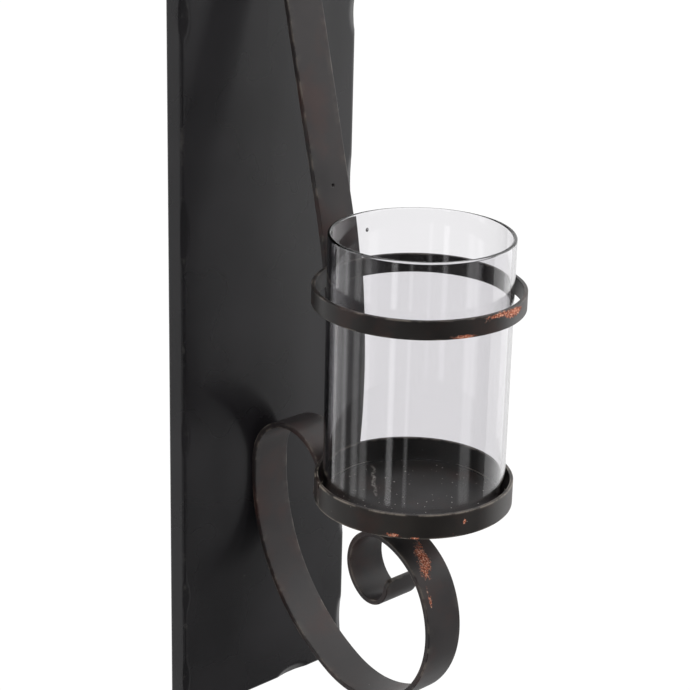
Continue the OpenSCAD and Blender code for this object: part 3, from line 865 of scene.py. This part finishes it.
def makeScrollWeld(geometry):
    # a fillet in the wedge between the arch and the plate, rippled along its length
    low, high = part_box("scroll_weld")
    rows, around, sink = weldSpec["filletRows"], weldSpec["filletAround"], weldSpec["filletSink"] * mm
    x = np.linspace(low.x, high.x, rows)[:, None]
    endFade = np.sqrt(np.clip(1 - np.abs(2 * x / (high.x - low.x)) ** 8, 0, 1))
    t = np.arange(around) * 2 * math.pi / around
    archR, archZ, plateFront = (geometry[k] for k in ("archRadius", "archZ", "plateFront"))
    half = barSpec["thick"] * mm / 2
    foot = archZ + weldSpec["filletFoot"] * mm
    crown = high.z + weldSpec["filletRipple"] * mm * wander(x / (weldSpec["filletWave"] * mm), 71)
    z = foot + (crown - foot) * (0.5 + 0.5 * np.sin(t)) * (0.4 + 0.6 * endFade)
    archOut = plateFront + half + archR - np.sqrt((archR + half) ** 2 - (z - archZ) ** 2)
    inner, outer = plateFront - sink, archOut + sink
    out = (inner + outer) / 2 + (outer - inner) / 2 * np.cos(t)
    points = np.stack([x + 0 * z, -out, z], -1)
    makePiece("scrollWeld", "scroll_weld", weldPaint, points, closedTube(rows, around),
              weldSpec["filletWear"])


studioSpec = {
    "white": 1.04, "floorDrop": 0.2, "floorHalf": 60.0, "paper": "#e6e6e6", "paperRough": 0.9,
    # how bright the studio is all round, by compass angle: 0 is straight out from the wall and
    # +90 is to the right along it. The side the viewer stands on is kept dark.
    "round": [(-180, 1.7), (-171, 1.7), (-166, 0.55), (-153, 0.5), (-150, 1.2), (-146, 1.2), (-143, 0.2),
              (-134, 0.2), (-131, 1.1), (-124, 1.1), (-121, 0.2), (-117, 0.9), (-110, 0.9), (-107, 0.1),
              (-82, 0.08), (-80, 1.6), (-75, 1.6), (-73, 0.08), (-60, 0.08), (-58, 0.9), (-56, 0.9),
              (-54, 0.08), (-20, 0.12), (12, 0.2), (14, 0.9), (26, 0.9), (29, 0.08), (40, 0.08),
              (58, 0.4), (80, 1.0), (180, 1.1)],
    # overhead the light is even, and towards straight down it falls to a share of the round's
    "top": 1.25, "topFrom": 0.35, "topFull": 0.85, "low": 0.55,
}
# a soft panel to the right of the plate: distance from the wall's middle, its near and far edges
# out from the wall, its foot and top, and its brightness between two heights
panelSpec = {"x": 0.55, "out": (0.14, 0.60), "height": (-0.95, 0.35), "levelAt": (-0.85, -0.25),
             "level": (0.72, 2.2)}
lampSpec = {"place": (0.15, -0.7, 1.5), "aim": (0, -0.06, -0.25), "size": 1.2, "power": 2}


def stageSheet(name, corners):
    # one flat quad that belongs to the stage
    mesh = bpy.data.meshes.new(name)
    mesh.from_pydata(corners, [], [(0, 1, 2, 3)])
    sheet = bpy.data.objects.new(name, mesh)
    scene.collection.objects.link(sheet)
    return sheet


def makeFloor():
    # White paper that glows white to the eye, straight or through glass, and lights the object as
    # plain paper. The gloss of paint and glass mirrors the studio's round of light instead.
    z, half = cadBox[0][2] - studioSpec["floorDrop"], studioSpec["floorHalf"]
    floor = stageSheet("floor", [(-half, -half, z), (half, -half, z), (half, half, z), (-half, half, z)])
    floor.visible_glossy = False
    paper, tree, shader = startMaterial("whitePaperFloor")
    shader.inputs["Base Color"].default_value = linearColor(studioSpec["paper"])
    shader.inputs["Roughness"].default_value = studioSpec["paperRough"]
    path = addNode(tree, "LightPath")
    # turns other than through glass, on the way from the lens: none means a straight look
    others = addNode(tree, "Math", {"operation": "SUBTRACT"},
                     {0: (path, "Ray Depth"), 1: (path, "Transmission Depth")})
    straight = addNode(tree, "Math", {"operation": "LESS_THAN", 1: 0.5}, {0: others})
    solid = addNode(tree, "Math", {"operation": "MAXIMUM"},
                    {0: (path, "Is Diffuse Ray"), 1: (path, "Is Shadow Ray")})
    unseen = addNode(tree, "BsdfTransparent")
    lit = addNode(tree, "MixShader", {}, {0: solid, 1: unseen, 2: shader})
    glow = addNode(tree, "Emission", {"Color": (1, 1, 1, 1), "Strength": studioSpec["white"]})
    mix = addNode(tree, "MixShader", {}, {0: straight, 1: lit, 2: glow})
    tree.links.new(mix.outputs["Shader"], tree.nodes["Material Output"].inputs["Surface"])
    floor.data.materials.append(paper)


def makePanel():
    # lit cloth, brighter towards its top, that only light and reflections know of
    (near, far), (foot, top), x = panelSpec["out"], panelSpec["height"], panelSpec["x"]
    softPanel = stageSheet("softPanel", [(x, -near, foot), (x, -far, foot), (x, -far, top), (x, -near, top)])
    softPanel.visible_camera = softPanel.visible_transmission = False
    cloth, tree, shader = startMaterial("litPanelCloth")
    shader.inputs["Base Color"].default_value = (0, 0, 0, 1)
    shader.inputs["Emission Color"].default_value = (1, 1, 1, 1)
    place = addNode(tree, "TexCoord")
    up = addNode(tree, "SeparateXYZ", {}, {"Vector": (place, "Object")})
    level = addNode(tree, "MapRange",
                    {"From Min": panelSpec["levelAt"][0], "From Max": panelSpec["levelAt"][1],
                     "To Min": panelSpec["level"][0], "To Max": panelSpec["level"][1]}, {"Value": (up, "Z")})
    tree.links.new(level.outputs["Result"], shader.inputs["Emission Strength"])
    softPanel.data.materials.append(cloth)


def makeWorld():
    # the round of light by compass angle, an even light overhead, and plain white to the lens
    world = bpy.data.worlds.new("studio")
    scene.world = world
    world.use_nodes = True
    tree = world.node_tree
    tree.nodes.clear()
    direction = addNode(tree, "TexCoord")
    parts = addNode(tree, "SeparateXYZ", {}, {"Vector": (direction, "Generated")})
    outwards = addNode(tree, "Math", {"operation": "MULTIPLY", 1: -1.0}, {0: (parts, "Y")})
    turn = addNode(tree, "Math", {"operation": "ARCTAN2"}, {0: (parts, "X"), 1: outwards})
    along = addNode(tree, "MapRange", {"From Min": -math.pi, "From Max": math.pi}, {"Value": turn})
    ramp = addNode(tree, "ValToRGB", {}, {"Fac": along})
    elements = ramp.color_ramp.elements
    for k, (angle, level) in enumerate(studioSpec["round"]):
        place = (angle + 180) / 360
        element = elements[k] if k < 2 else elements.new(place)
        element.position = place
        element.color = (level, level, level, 1)
    top = addNode(tree, "MapRange",
                  {"From Min": studioSpec["topFrom"], "From Max": studioSpec["topFull"],
                   "interpolation_type": "SMOOTHSTEP"}, {"Value": (parts, "Z")})
    withTop = addNode(tree, "Mix", {"data_type": "RGBA", 7: (studioSpec["top"],) * 3 + (1,)},
                      {0: top, 6: (ramp, "Color")})
    low = addNode(tree, "MapRange", {"From Min": -1.0, "From Max": 0.0, "To Min": studioSpec["low"]},
                  {"Value": (parts, "Z")})
    soft = addNode(tree, "Background", {}, {"Color": (withTop, 2), "Strength": low})
    white = addNode(tree, "Background", {"Color": (1, 1, 1, 1), "Strength": studioSpec["white"]})
    path = addNode(tree, "LightPath")
    mix = addNode(tree, "MixShader", {}, {0: (path, "Is Camera Ray"), 1: soft, 2: white})
    addNode(tree, "OutputWorld", {}, {"Surface": mix})


def makeLamp():
    lamp = bpy.data.lights.new("topSoft", "AREA")
    lamp.size, lamp.energy = lampSpec["size"], lampSpec["power"]
    holder = bpy.data.objects.new("topSoft", lamp)
    holder.location = lampSpec["place"]
    aim = Vector(lampSpec["aim"]) - Vector(lampSpec["place"])
    holder.rotation_euler = aim.to_track_quat("-Z", "Y").to_euler()
    scene.collection.objects.link(holder)


makeCamera()
geometry = barGeometry()
makeBackPlate()
makeBar("upperBar", "upper_bar", geometry["upper"], 11, pits=barSpec["pits"])
makeBar("scrollBar", "scroll_bar", geometry["scroll"], 15, barSpec["rubs"], tipRound=barSpec["tipRound"])
makeBand("glassHoop", "glass_hoop", hoopSpec, 31, hoopPaint)
makeBand("panWall", "pan_wall", panSpec, 35, panPaint)
makePanFloor()
makeGlass()
makeAllRivets(geometry)
makeBandWeld("hoopWeld", "hoop_weld", "glass_hoop", geometry["bowCentre"])
makeBandWeld("panWeld", "pan_weld", "pan_wall", geometry["bowCentre"])
makeScrollWeld(geometry)
# the strip across the back is the CAD's own, under the plate's paint
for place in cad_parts["hanger_strip"].material_slots:
    place.material = platePaint
print("pieces ready")
makeFloor()
makePanel()
makeWorld()
makeLamp()
scene.view_settings.view_transform = "Standard"
print("studio ready")
